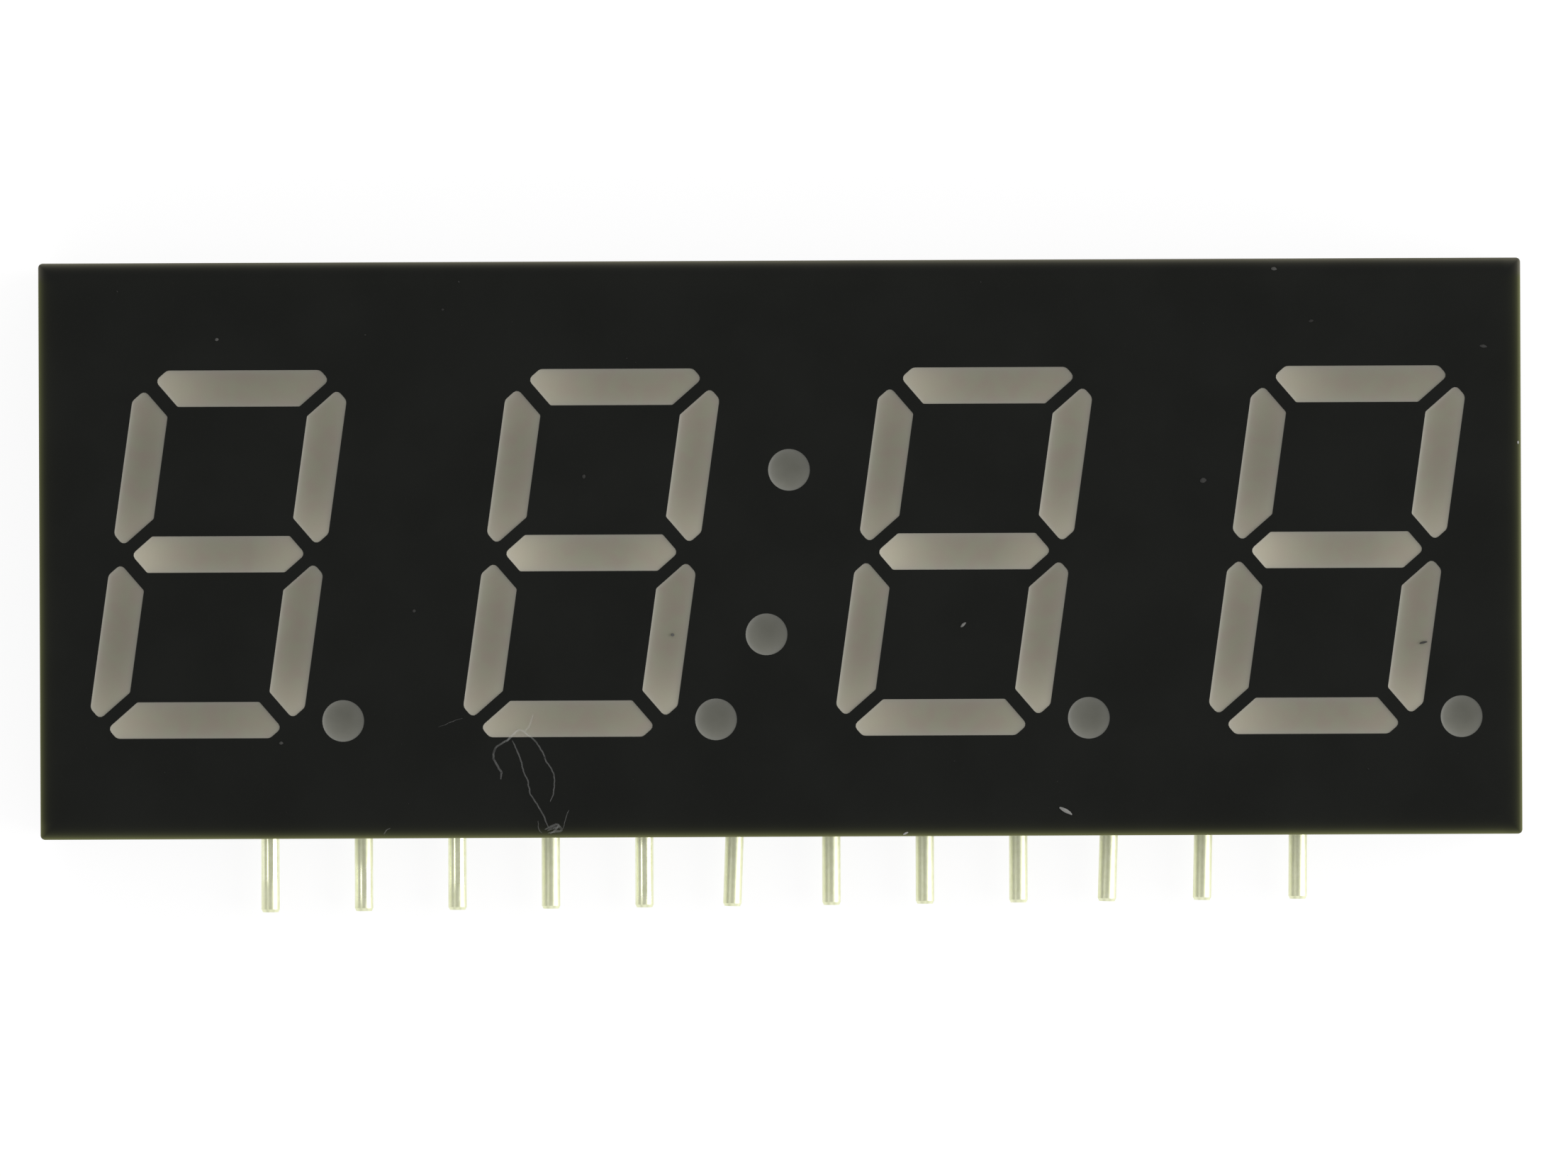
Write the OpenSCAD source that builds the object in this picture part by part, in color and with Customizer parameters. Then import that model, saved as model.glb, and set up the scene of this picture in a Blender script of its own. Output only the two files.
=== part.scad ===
// Four-digit seven-segment LED display with one row of pins along its lower edge.
// It lies on its back: +X runs along the digits, +Y up the digits and +Z out of the face.
// The origin is the centre of the face, and sizes are in millimetres.

/* [Digits] */
// Distance from one digit to the next
digit_pitch = 10; // [9:0.1:12]
// Height of a digit
digit_h = 9.87; // [8.5:0.01:12]
// Width of a digit before it is slanted
digit_w = 5.75; // [5:0.01:6.2]
// Slant of the digits, in degrees
slant = 8; // [0:0.5:12]
// Height of a light bar that lies flat
stroke = 0.975; // [0.8:0.005:1.2]
// Width of a light bar that stands upright, before it is slanted
upright_stroke = 1.005; // [0.8:0.005:1.2]
// How far outside its centre line an outer bar has its points
tip_shift = 0.21; // [0:0.005:0.25]
// Length that a bar's point stops short of the crossing with its neighbours
tip_gap = 0.25; // [0.15:0.01:0.4]
// Rounding of the bars' points
tip_r = 0.14; // [0.05:0.01:0.15]
// Rounding of the corners on the outer side of a bar
shoulder_r = 0.2; // [0.05:0.01:0.22]
// Rounding of the corners on the inner side of a bar
heel_r = 0.08; // [0.05:0.01:0.2]
// Diameter of the decimal points and the colon dots
dot_d = 1.12; // [0.9:0.02:1.3]
// Space between a digit and its decimal point
dot_gap = 0.52; // [0.3:0.02:0.8]
// How far a decimal point reaches below the foot of its digit
dot_drop = 0.105; // [0:0.005:0.4]
// Height between the centres of the two colon dots
colon_h = 4.41; // [3:0.01:6]
// Sideways offset of the digits from the middle of the face
digits_x = -0.07; // [-0.3:0.01:0.3]
// Upward offset of the digits from the middle of the face
digits_y = -0.09; // [-0.4:0.01:0.4]

/* [Housing] */
// Face beside the first and the last digit
side_border = 1.31; // [1:0.01:3]
// Face above and below the digits
edge_border = 2.795; // [2.4:0.005:5]
// Thickness of the block that holds the light wells
block_t = 4.5; // [3.5:0.1:7]
// Height of the rim behind the circuit board
rim_h = 1.5; // [1.3:0.1:3]
// Thickness of the rim
wall = 1; // [0.7:0.05:1.3]
// Rounding of the edges round the face
edge_r = 0.1; // [0.05:0.01:0.5]
// How much larger the rounding of the upright corners is
corner_extra = 0.03; // [0.02:0.01:0.3]

/* [Light wells] */
// Depth of the straight mouth of a well
mouth_h = 1; // [0.5:0.1:2]
// Length of a well's window at the circuit board
window_l = 1.3; // [0.8:0.1:2]
// Width of a well's window at the circuit board
window_w = 0.66; // [0.5:0.02:0.8]
// How far the cast resin ends below the face
resin_sink = 0.04; // [0.01:0.01:0.2]
// Side of a light-emitting die
die_w = 0.3; // [0.2:0.02:0.4]
// Thickness of a die
die_t = 0.2; // [0.1:0.02:0.3]

/* [Circuit board] */
// Thickness of the board
board_t = 1; // [0.6:0.1:1.6]
// Clearance between the board and the rim
board_clear = 0.1; // [0.05:0.01:0.2]
// Diameter of the melted pegs that hold the board
peg_d = 1; // [0.8:0.05:1.2]
// Clearance round a peg
peg_clear = 0.05; // [0.02:0.01:0.1]
// Diameter of a peg's melted head
peg_head_d = 1.6; // [1.5:0.05:1.8]
// Height of a peg's melted head
peg_head_h = 0.4; // [0.2:0.05:0.6]
// Space between a peg's head and the rim
peg_space = 0.2; // [0.1:0.05:0.4]

/* [Pins] */
// Distance from one pin to the next
pin_pitch = 2.54; // [2:0.01:2.8]
// Diameter of the pin wire
pin_d = 0.5; // [0.4:0.02:0.6]
// Mean length of the pins outside the housing
pin_reach = 1.97; // [1:0.01:6]
// How much longer the first pin was cut than the last
pin_trim = 0.25; // [0:0.01:0.5]
// Length of the pinched end of a pin
pin_tip = 0.08; // [0.02:0.01:0.2]
// Sideways offset of the row of pins from the middle of the housing
pins_x = 0.09; // [-0.2:0.01:0.2]
// Distance from the board's lower edge to the row of pin holes
pin_inset = 1.2; // [0.9:0.05:1.6]
// Radius of a pin's bend, at the middle of the wire
bend_r = 0.5; // [0.4:0.02:0.6]
// Clearance between a pin and its hole
pin_clear = 0.1; // [0.05:0.01:0.15]
// Clearance round a pin in its notch in the rim
notch_clear = 0.15; // [0.12:0.01:0.25]
// Width of the ring of solder beyond a pin's hole
solder_ring = 0.28; // [0.15:0.01:0.35]
// Height of the solder on a pin
solder_h = 0.25; // [0.15:0.01:0.35]
// Thickness of the solder where it ends on a pin
solder_skin = 0.03; // [0.02:0.01:0.06]
// How far the surface of the solder is hollowed between the pin and its rim
solder_sag = 0.035; // [0.01:0.005:0.06]

/* [Hidden] */
$fn = 48;
arc_steps = 3;
over = 1;

digit_count = 4;
pin_count = 12;

// Lines on which the bars have their points, before the slant
tip_x = digit_w / 2 - upright_stroke / 2 + tip_shift;
tip_y = digit_h / 2 - stroke / 2 + tip_shift;

// Each bar: its letter, the middle of its tip line, its length between crossings, whether it stands upright,
// which way is outward, how far its centre line lies inside its tip line, and its width
BARS = [
    ["a", [0, tip_y], 2 * tip_x, false, 1, tip_shift, stroke],
    ["b", [tip_x, tip_y / 2], tip_y, true, 1, tip_shift, upright_stroke],
    ["c", [tip_x, -tip_y / 2], tip_y, true, 1, tip_shift, upright_stroke],
    ["d", [0, -tip_y], 2 * tip_x, false, -1, tip_shift, stroke],
    ["e", [-tip_x, -tip_y / 2], tip_y, true, -1, tip_shift, upright_stroke],
    ["f", [-tip_x, tip_y / 2], tip_y, true, -1, tip_shift, upright_stroke],
    ["g", [0, 0], 2 * tip_x, false, 1, 0, stroke],
];

// How far each pin was bent off straight, in degrees, from first to last
PIN_TURNS = [0, 0, 0, 0, 0, -2.1, 0, 0, 0, -1.9, -1.3, -0.5];

body_w = (digit_count - 1) * digit_pitch + digit_w + tan(slant) * digit_h + 2 * side_border;
body_h = digit_h + 2 * edge_border;
depth = block_t + board_t + rim_h;
corner_r = edge_r + corner_extra;
board_back = -block_t - board_t;

point_place = [digit_w / 2 + dot_gap + dot_d / 2, -digit_h / 2 - dot_drop + dot_d / 2];

peg_inset = wall + peg_space + peg_head_d / 2;
peg_x = body_w / 2 - peg_inset;
peg_y = body_h / 2 - peg_inset;
PEGS = [
    for (side = [-1, 1]) [side * peg_x, peg_y],
    for (side = [-1, 1]) [side * digit_pitch / 2, peg_y],
    for (side = [-1, 1]) [side * peg_x, -peg_y],
];

pin_row_y = -body_h / 2 + wall + board_clear + pin_inset;
pin_hole_d = pin_d + 2 * pin_clear;
pin_z = board_back - solder_h - bend_r;
notch_w = pin_d + 2 * notch_clear;

function digit_place(n) = [(n - (digit_count + 1) / 2) * digit_pitch + digits_x, digits_y];
function slanted(p) = [p.x + tan(slant) * p.y, p.y];
function unit(v) = v / norm(v);

// Place in its digit of a point at distance u along a bar and v out of its tip line
function on_bar(bar, u, v) =
    slanted(bar[1] + (bar[3] ? [bar[4] * v, u] : [u, bar[4] * v]));

// A bar has six corners, with both ends mitred from the tip line to its two edges
function bar_corners(bar) =
    let (tip = bar[2] / 2 - tip_gap, outer = bar[6] / 2 - bar[5], inner = bar[6] / 2 + bar[5])
    [for (p = [[tip, 0], [tip - outer, outer], [outer - tip, outer],
               [-tip, 0], [inner - tip, -inner], [tip - inner, -inner]])
        on_bar(bar, p[0], p[1])];

// Points of the arc that rounds the corner at p, between its neighbours a and b
function corner_arc(a, p, b, r) =
    let (da = unit(a - p), db = unit(b - p), half = acos(da * db) / 2,
         centre = p + unit(da + db) * r / sin(half),
         start = p + da * r / tan(half) - centre,
         turn = (180 - 2 * half) * sign(cross(db, da)))
    [for (i = [0 : arc_steps]) let (t = turn * i / arc_steps)
        centre + [start.x * cos(t) - start.y * sin(t), start.x * sin(t) + start.y * cos(t)]];

// Outline with its own radius at each corner
function rounded(points, radii) =
    let (n = len(points))
    [for (i = [0 : n - 1], p = corner_arc(points[(i + n - 1) % n], points[i], points[(i + 1) % n], radii[i])) p];

// The middle bar has inner corners on both sides
function bar_outline(bar) =
    let (side_r = bar[5] > 0 ? shoulder_r : heel_r)
    rounded(bar_corners(bar), [tip_r, side_r, side_r, tip_r, heel_r, heel_r]);

function bar_name(n, bar) = str("digit_", n, "_segment_", bar[0]);
function point_name(n) = str("digit_", n, "_point");
function dice_name(n) = str("digit_", n, "_dice");
function pin_name(i) = str("pin_", i);
function pin_x(i) = (i - (pin_count + 1) / 2) * pin_pitch + pins_x;

// Outline of a well along or across its bar: a straight mouth, then a taper to the window
module taper(mouth, window) {
    polygon([[-mouth / 2, over], [mouth / 2, over], [mouth / 2, -mouth_h],
             [window / 2, -block_t], [window / 2, -block_t - over],
             [-window / 2, -block_t - over], [-window / 2, -block_t], [-mouth / 2, -mouth_h]]);
}

// Hopper that tapers both ways, centred on a bar's centre line
module hopper(bar) {
    middle = on_bar(bar, 0, -bar[5]);
    reach = digit_h;
    translate([middle.x, middle.y, 0])
        rotate(bar[3] ? 90 - slant : 0)
            intersection() {
                rotate([90, 0, 0])
                    linear_extrude(reach, center = true)
                        taper(bar[2], window_l);
                rotate([90, 0, 90])
                    linear_extrude(reach, center = true)
                        taper(bar[6], window_w);
            }
}

// Light path of a bar between two heights
module bar_path(bar, low, high) {
    intersection() {
        translate([0, 0, low])
            linear_extrude(high - low)
                polygon(bar_outline(bar));
        hopper(bar);
    }
}

// Light path of a dot between two heights
module dot_path(low, high) {
    intersection() {
        translate([0, 0, low])
            cylinder(d = 2 * dot_d, h = high - low);
        rotate_extrude()
            intersection() {
                taper(dot_d, window_w);
                translate([0, -block_t - 2 * over])
                    square([dot_d, block_t + 4 * over]);
            }
    }
}

module at_digit(n) {
    place = digit_place(n);
    translate([place.x, place.y, 0])
        children();
}

module at_point(n) {
    place = slanted(point_place);
    at_digit(n)
        translate([place.x, place.y, 0])
            children();
}

// Upper colon dot for side 1, lower one for side -1
module at_colon(side) {
    place = slanted([0, side * colon_h / 2]);
    translate([place.x + digits_x, place.y + digits_y, 0])
        children();
}

// One die on the front of the board
module die() {
    translate([-die_w / 2, -die_w / 2, -block_t])
        cube([die_w, die_w, die_t]);
}

module at_bar_die(bar) {
    middle = on_bar(bar, 0, -bar[5]);
    translate([middle.x, middle.y, 0])
        rotate(bar[3] ? -slant : 0)
            children();
}

module rounded_rectangle(w, h, r) {
    square([w - 2 * r, h], center = true);
    square([w, h - 2 * r], center = true);
    for (x = [-1, 1], y = [-1, 1])
        translate([x * (w / 2 - r), y * (h / 2 - r)])
            circle(r);
}

// Side view of the body, with its front edges rounded
module front_profile(w) {
    translate([-w / 2, -depth])
        square([w, depth - edge_r]);
    translate([edge_r - w / 2, -depth])
        square([w - 2 * edge_r, depth]);
    for (side = [-1, 1])
        translate([side * (w / 2 - edge_r), -edge_r])
            circle(edge_r);
}

module body() {
    intersection() {
        translate([0, 0, -depth])
            linear_extrude(depth)
                rounded_rectangle(body_w, body_h, corner_r);
        rotate([90, 0, 0])
            linear_extrude(body_h, center = true)
                front_profile(body_w);
        rotate([90, 0, 90])
            linear_extrude(body_w, center = true)
                front_profile(body_h);
    }
}

// Every light path, cut right through the block
module wells() {
    low = -block_t - over / 2;
    high = over / 2;
    for (n = [1 : digit_count]) {
        at_digit(n)
            for (bar = BARS)
                bar_path(bar, low, high);
        at_point(n)
            dot_path(low, high);
    }
    for (side = [-1, 1])
        at_colon(side)
            dot_path(low, high);
}

// Round-ended notches in the rim, open at the back, through which the pins leave
module pin_notches() {
    for (i = [1 : pin_count])
        translate([pin_x(i), wall + over - body_h / 2, pin_z])
            rotate([90, 0, 0])
                linear_extrude(wall + 2 * over) {
                    circle(d = notch_w);
                    translate([-notch_w / 2, -rim_h])
                        square([notch_w, rim_h]);
                }
}

// Pegs that pass through the board and are melted over it into low domes
module pegs() {
    dome_r = (peg_head_d * peg_head_d / 4 + peg_head_h * peg_head_h) / (2 * peg_head_h);
    for (place = PEGS)
        translate([place.x, place.y, board_back]) {
            cylinder(d = peg_d, h = board_t + over);
            rotate_extrude()
                intersection() {
                    translate([0, dome_r - peg_head_h])
                        circle(dome_r);
                    translate([0, -peg_head_h])
                        square([peg_head_d, peg_head_h]);
                }
        }
}

// Moulded reflector with its face, wells, rim and pegs in one piece
module housing() {
    color([0.12, 0.12, 0.11]) {
        difference() {
            body();
            translate([wall - body_w / 2, wall - body_h / 2, -depth - over])
                cube([body_w - 2 * wall, body_h - 2 * wall, board_t + rim_h + over]);
            wells();
            pin_notches();
        }
        pegs();
    }
}

// Resin cast into the well of one bar, round its die
module segment(n, bar) {
    color([0.66, 0.64, 0.58])
        at_digit(n)
            difference() {
                bar_path(bar, -block_t, -resin_sink);
                at_bar_die(bar)
                    die();
            }
}

// Resin cast into the well of a dot, round its die
module dot() {
    color([0.5, 0.5, 0.5])
        difference() {
            dot_path(-block_t, -resin_sink);
            die();
        }
}

module digit_dice(n) {
    color([0.35, 0.33, 0.3]) {
        at_digit(n)
            for (bar = BARS)
                at_bar_die(bar)
                    die();
        at_point(n)
            die();
    }
}

module colon_dice() {
    color([0.35, 0.33, 0.3])
        for (side = [-1, 1])
            at_colon(side)
                die();
}

// Board behind the reflector, drilled for the pegs and the pins
module circuit_board() {
    margin = wall + board_clear;
    color([0.16, 0.36, 0.2])
        difference() {
            translate([margin - body_w / 2, margin - body_h / 2, board_back])
                cube([body_w - 2 * margin, body_h - 2 * margin, board_t]);
            for (place = PEGS)
                translate([place.x, place.y, board_back - over])
                    cylinder(d = peg_d + 2 * peg_clear, h = board_t + 2 * over);
            for (i = [1 : pin_count])
                translate([pin_x(i), pin_row_y, board_back - over])
                    cylinder(d = pin_hole_d, h = board_t + 2 * over);
        }
}

// Bent wire pin: it stands in the board, turns behind it and leaves below the housing
module pin(i) {
    share = (i - (pin_count + 1) / 2) / (pin_count - 1);
    foot_h = solder_h + board_t - pin_clear;
    leg = pin_row_y + body_h / 2 - bend_r + pin_reach - share * pin_trim - pin_tip;
    color([0.76, 0.76, 0.6])
        translate([pin_x(i), pin_row_y, pin_z])
            rotate(PIN_TURNS[i - 1]) {
                translate([0, 0, bend_r])
                    cylinder(d = pin_d, h = foot_h);
                translate([0, -bend_r, bend_r])
                    rotate([0, 90, 0])
                        rotate_extrude(angle = 90)
                            translate([bend_r, 0])
                                circle(d = pin_d);
                translate([0, -bend_r, 0])
                    rotate([90, 0, 0]) {
                        cylinder(d = pin_d, h = leg);
                        translate([0, 0, leg])
                            cylinder(d1 = pin_d, d2 = pin_d - pin_tip, h = pin_tip);
                    }
            }
}

// Solder that fills each pin hole and rises along the pin behind the board in a hollow curve
module solder_joints() {
    pin_r = pin_d / 2;
    hole_r = pin_hole_d / 2;
    fill_h = board_t - pin_clear;
    rim_r = hole_r + solder_ring;
    top_r = pin_r + solder_skin;
    slope = [rim_r - top_r, solder_h];
    half = norm(slope) / 2;
    curve_r = (half * half + solder_sag * solder_sag) / (2 * solder_sag);
    middle = [(rim_r + top_r) / 2, -solder_h / 2];
    hollow = middle + unit([slope.y, -slope.x]) * (curve_r - solder_sag);
    color([0.78, 0.78, 0.76])
        for (i = [1 : pin_count])
            translate([pin_x(i), pin_row_y, board_back])
                rotate_extrude()
                    difference() {
                        polygon([[pin_r, fill_h], [pin_r, -solder_h], [rim_r, -solder_h],
                                 [rim_r, 0], [hole_r, 0], [hole_r, fill_h]]);
                        translate(hollow)
                            circle(curve_r);
                    }
}

housing();
for (n = [1 : digit_count]) {
    for (bar = BARS)
        segment(n, bar);
    at_point(n) dot();
    digit_dice(n);
}
at_colon(1) dot();  // colon_upper
at_colon(-1) dot();  // colon_lower
colon_dice();
circuit_board();
for (i = [1 : pin_count])
    pin(i);
solder_joints();
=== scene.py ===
import math
import random

import bmesh
import bpy
from mathutils import Matrix, Quaternion, Vector


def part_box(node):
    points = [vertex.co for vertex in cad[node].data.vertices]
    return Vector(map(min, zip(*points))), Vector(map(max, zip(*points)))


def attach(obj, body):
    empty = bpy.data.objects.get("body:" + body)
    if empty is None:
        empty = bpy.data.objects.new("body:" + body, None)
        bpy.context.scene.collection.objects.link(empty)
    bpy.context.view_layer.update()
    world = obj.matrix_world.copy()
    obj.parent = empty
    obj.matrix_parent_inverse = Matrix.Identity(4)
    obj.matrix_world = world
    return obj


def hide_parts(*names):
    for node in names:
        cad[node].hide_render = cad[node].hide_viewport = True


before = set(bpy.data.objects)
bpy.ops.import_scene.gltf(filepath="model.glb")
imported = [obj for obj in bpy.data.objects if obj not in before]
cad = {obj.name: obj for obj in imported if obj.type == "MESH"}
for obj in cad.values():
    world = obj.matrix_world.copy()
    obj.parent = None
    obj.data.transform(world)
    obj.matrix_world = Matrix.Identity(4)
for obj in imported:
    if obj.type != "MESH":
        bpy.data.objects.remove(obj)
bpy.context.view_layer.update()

MM = 0.001

# Sizes of the display, in millimetres, as in the part's source
DIGIT_COUNT = 4
DIGIT_PITCH = 10.0
DIGIT_H = 9.87
DIGIT_W = 5.75
SLANT = math.tan(math.radians(8))
FLAT_STROKE = 0.975
UPRIGHT_STROKE = 1.005
TIP_SHIFT = 0.21
TIP_GAP = 0.25
TIP_R = 0.14
SHOULDER_R = 0.2
HEEL_R = 0.08
ARC_STEPS = 3
DOT_D = 1.12
DOT_GAP = 0.52
DOT_DROP = 0.105
COLON_H = 4.41
DIGITS_X = -0.07
DIGITS_Y = -0.09
WELL_DEPTH = 4.5
MOUTH_H = 1.0
WINDOW_L = 1.3
WINDOW_W = 0.66
RESIN_SINK = 0.04
WALL = 1.0
EDGE_R = 0.1
PIN_COUNT = 12
PIN_PITCH = 2.54
PIN_D = 0.5
PINS_X = 0.09
# Stretches of some pins, as heights on the face, that still have a clean shine
BRIGHT_PINS = {1: (-7.6, -9.0), 2: (-8.6, -9.5), 3: (-7.6, -9.1), 5: (-7.9, -9.5)}

HALF_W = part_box("housing")[1].x / MM
HALF_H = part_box("housing")[1].y / MM
BACK_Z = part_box("housing")[0].z / MM
BOARD_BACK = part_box("circuit_board")[0].z / MM
PIN_ROW_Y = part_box("pin_1")[1].y / MM - PIN_D / 2

TIP_X = DIGIT_W / 2 - UPRIGHT_STROKE / 2 + TIP_SHIFT
TIP_Y = DIGIT_H / 2 - FLAT_STROKE / 2 + TIP_SHIFT

# Each bar: letter, middle of its tip line, length between crossings, upright or not, which way is outward,
# distance from tip line to centre line, width
BARS = [
    ("a", (0, TIP_Y), 2 * TIP_X, False, 1, TIP_SHIFT, FLAT_STROKE),
    ("b", (TIP_X, TIP_Y / 2), TIP_Y, True, 1, TIP_SHIFT, UPRIGHT_STROKE),
    ("c", (TIP_X, -TIP_Y / 2), TIP_Y, True, 1, TIP_SHIFT, UPRIGHT_STROKE),
    ("d", (0, -TIP_Y), 2 * TIP_X, False, -1, TIP_SHIFT, FLAT_STROKE),
    ("e", (-TIP_X, -TIP_Y / 2), TIP_Y, True, -1, TIP_SHIFT, UPRIGHT_STROKE),
    ("f", (-TIP_X, TIP_Y / 2), TIP_Y, True, -1, TIP_SHIFT, UPRIGHT_STROKE),
    ("g", (0, 0), 2 * TIP_X, False, 1, 0, FLAT_STROKE),
]


# Node expressions


def pick(sockets, key):
    """The socket at a number, or the first one in use that has a name."""
    if isinstance(key, int):
        return sockets[key]
    return next(s for s in sockets if s.name == key and not s.is_unavailable)


class Term:
    """One output of a node, which sums and products in Python carry on with Math nodes."""

    def __init__(self, sheet, socket):
        self.sheet = sheet
        self.socket = socket

    def out(self, key):
        return Term(self.sheet, pick(self.socket.node.outputs, key))

    def __add__(self, other):
        return self.sheet.math("ADD", self, other)

    def __radd__(self, other):
        return self.sheet.math("ADD", other, self)

    def __sub__(self, other):
        return self.sheet.math("SUBTRACT", self, other)

    def __rsub__(self, other):
        return self.sheet.math("SUBTRACT", other, self)

    def __mul__(self, other):
        return self.sheet.math("MULTIPLY", self, other)

    def __rmul__(self, other):
        return self.sheet.math("MULTIPLY", other, self)

    def __truediv__(self, other):
        return self.sheet.math("DIVIDE", self, other)

    def __rtruediv__(self, other):
        return self.sheet.math("DIVIDE", other, self)

    def __neg__(self):
        return self.sheet.math("MULTIPLY", self, -1.0)

    def __abs__(self):
        return self.sheet.math("ABSOLUTE", self)

    def low(self, other):
        return self.sheet.math("MINIMUM", self, other)

    def high(self, other):
        return self.sheet.math("MAXIMUM", self, other)

    def fade(self):
        """e to the power of minus this value."""
        return self.sheet.math("EXPONENT", self * -1.0)

    def ease(self, start, end):
        """0 at start and 1 at end, with soft ends."""
        return self.sheet.add(
            "ShaderNodeMapRange",
            {"interpolation_type": "SMOOTHSTEP"},
            {"Value": self, "From Min": start, "From Max": end, "To Min": 0.0, "To Max": 1.0},
        )

    def ramp(self, start, end):
        """0 at start and 1 at end, in a straight line."""
        return self.sheet.add(
            "ShaderNodeMapRange",
            {"interpolation_type": "LINEAR", "clamp": True},
            {"Value": self, "From Min": start, "From Max": end, "To Min": 0.0, "To Max": 1.0},
        )


class Sheet:
    """A node tree that is being filled."""

    def __init__(self, tree):
        self.tree = tree

    def add(self, kind, settings=None, inputs=None, output=0):
        node = self.tree.nodes.new(kind)
        for name, value in (settings or {}).items():
            setattr(node, name, value)
        for key, value in (inputs or {}).items():
            self.set(pick(node.inputs, key), value)
        return Term(self, pick(node.outputs, output))

    def set(self, socket, value):
        if isinstance(value, Term):
            self.tree.links.new(value.socket, socket)
        else:
            socket.default_value = value

    def math(self, operation, *values):
        return self.add("ShaderNodeMath", {"operation": operation}, dict(enumerate(values)))

    def mix(self, share, first, second):
        """A colour between two others."""
        settings = {"data_type": "RGBA", "clamp_factor": True}
        return self.add("ShaderNodeMix", settings, {"Factor": share, "A": first, "B": second}, "Result")

    def axes(self, vector):
        parted = self.add("ShaderNodeSeparateXYZ", {}, {0: vector})
        return [parted.out(name) for name in "XYZ"]


class Finish(Sheet):
    """A material built on one Principled shader, with patterns measured in millimetres."""

    def __init__(self, name, constants):
        self.material = bpy.data.materials.new(name)
        self.material.use_nodes = True
        super().__init__(self.material.node_tree)
        self.shader = self.tree.nodes["Principled BSDF"]
        for socket, value in constants.items():
            self.shader.inputs[socket].default_value = value
        metres = self.add("ShaderNodeTexCoord", output="Object")
        self.place = self.add("ShaderNodeVectorMath", {"operation": "SCALE"}, {0: metres, "Scale": 1 / MM})

    def grain(self, per_mm, detail=2.0, roughness=0.5, stretch=(1.0, 1.0, 1.0)):
        """Soft noise around 0.5 with a number of spots to the millimetre."""
        place = self.place
        if stretch != (1.0, 1.0, 1.0):
            place = self.add("ShaderNodeMapping", {}, {"Vector": place, "Scale": stretch})
        inputs = {"Vector": place, "Scale": per_mm, "Detail": detail, "Roughness": roughness}
        return self.add("ShaderNodeTexNoise", {"noise_dimensions": "3D"}, inputs)

    def attribute(self, name):
        return self.add("ShaderNodeAttribute", {"attribute_name": name}, {}, "Fac")

    def feed(self, socket, value):
        self.set(self.shader.inputs[socket], value)

    def bump(self, height, depth_mm, strength=1.0):
        inputs = {"Height": height, "Distance": depth_mm * MM, "Strength": strength}
        self.feed("Normal", self.add("ShaderNodeBump", {}, inputs))


def tone(red, green, blue):
    """A colour given in the 0 to 255 steps of a screen."""
    steps = [v / 255 for v in (red, green, blue)]
    light = [s / 12.92 if s <= 0.04045 else ((s + 0.055) / 1.055) ** 2.4 for s in steps]
    return (*light, 1.0)


def grey(level):
    """A colour without hue, given as its share of white light."""
    return (level, level, level, 1.0)


# Finishes


def black_coat():
    """Matt black coat sprayed over the front and sides of a pale moulded housing."""
    finish = Finish("black_coat_on_pale_housing", {"Specular IOR Level": 0.06})
    x, y, z = finish.axes(finish.place)
    inside = (HALF_W - abs(x)).low(HALF_H - abs(y))
    cloud = finish.grain(0.35, 3.0)
    grain = finish.grain(14.0, 2.0)
    # The coat lies on the face and the outer walls, with a little overspray on the back rim
    front = z.ease(-0.03, -0.01)
    outside = 1 - inside.ease(0.09, 0.12)
    overspray = 1 - (inside + (cloud - 0.5) * 0.6).ease(0.15, 0.6)
    back = 1 - z.ease(BACK_Z + 0.02, BACK_Z + 0.05)
    coat = front.high(outside).high(overspray * back)
    black = finish.mix(cloud.ease(0.3, 0.7), tone(22, 23, 21), tone(25, 26, 24))
    black = finish.mix(grain.ease(0.55, 0.85) * 0.35, black, tone(32, 33, 30))
    # Along the edges it is thin, so that the housing shows through, and a painted highlight lightens the
    # rounded edges
    top = y.ease(HALF_H - 0.6, HALF_H - 0.3)
    right = x.ease(HALF_W - 0.6, HALF_W - 0.3)
    # The painted edge highlight is set side by side, to follow how the lamps fall on each edge
    lit_side = right.high((-y).ease(HALF_H - 0.6, HALF_H - 0.3))
    worn_and_edge_highlight = (inside / (0.055 + lit_side * 0.012)).fade()
    worn_and_edge_highlight = worn_and_edge_highlight * (0.9 + lit_side * 0.08 + top * 0.2 - right * 0.15)
    worn_and_edge_highlight = worn_and_edge_highlight + (inside / 0.2).fade() * 0.05 * (1 - top)
    thin_coat_and_edge_highlight = worn_and_edge_highlight * z.ease(-0.25, -0.1) * (0.85 + cloud * 0.3)
    under = finish.mix(top, tone(113, 116, 77), tone(112, 110, 95))
    black = finish.mix(thin_coat_and_edge_highlight, black, under)
    pale = finish.mix(cloud.ease(0.25, 0.75), tone(214, 212, 202), tone(224, 222, 214))
    finish.feed("Base Color", finish.mix(coat, pale, black))
    finish.feed("Roughness", 0.46 + cloud * 0.1 + grain * 0.08)
    finish.bump(grain, 0.004, 0.6)
    return finish.material


# How far in from its wall the resin looks greyer
RIM_REACH = 0.12


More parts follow.
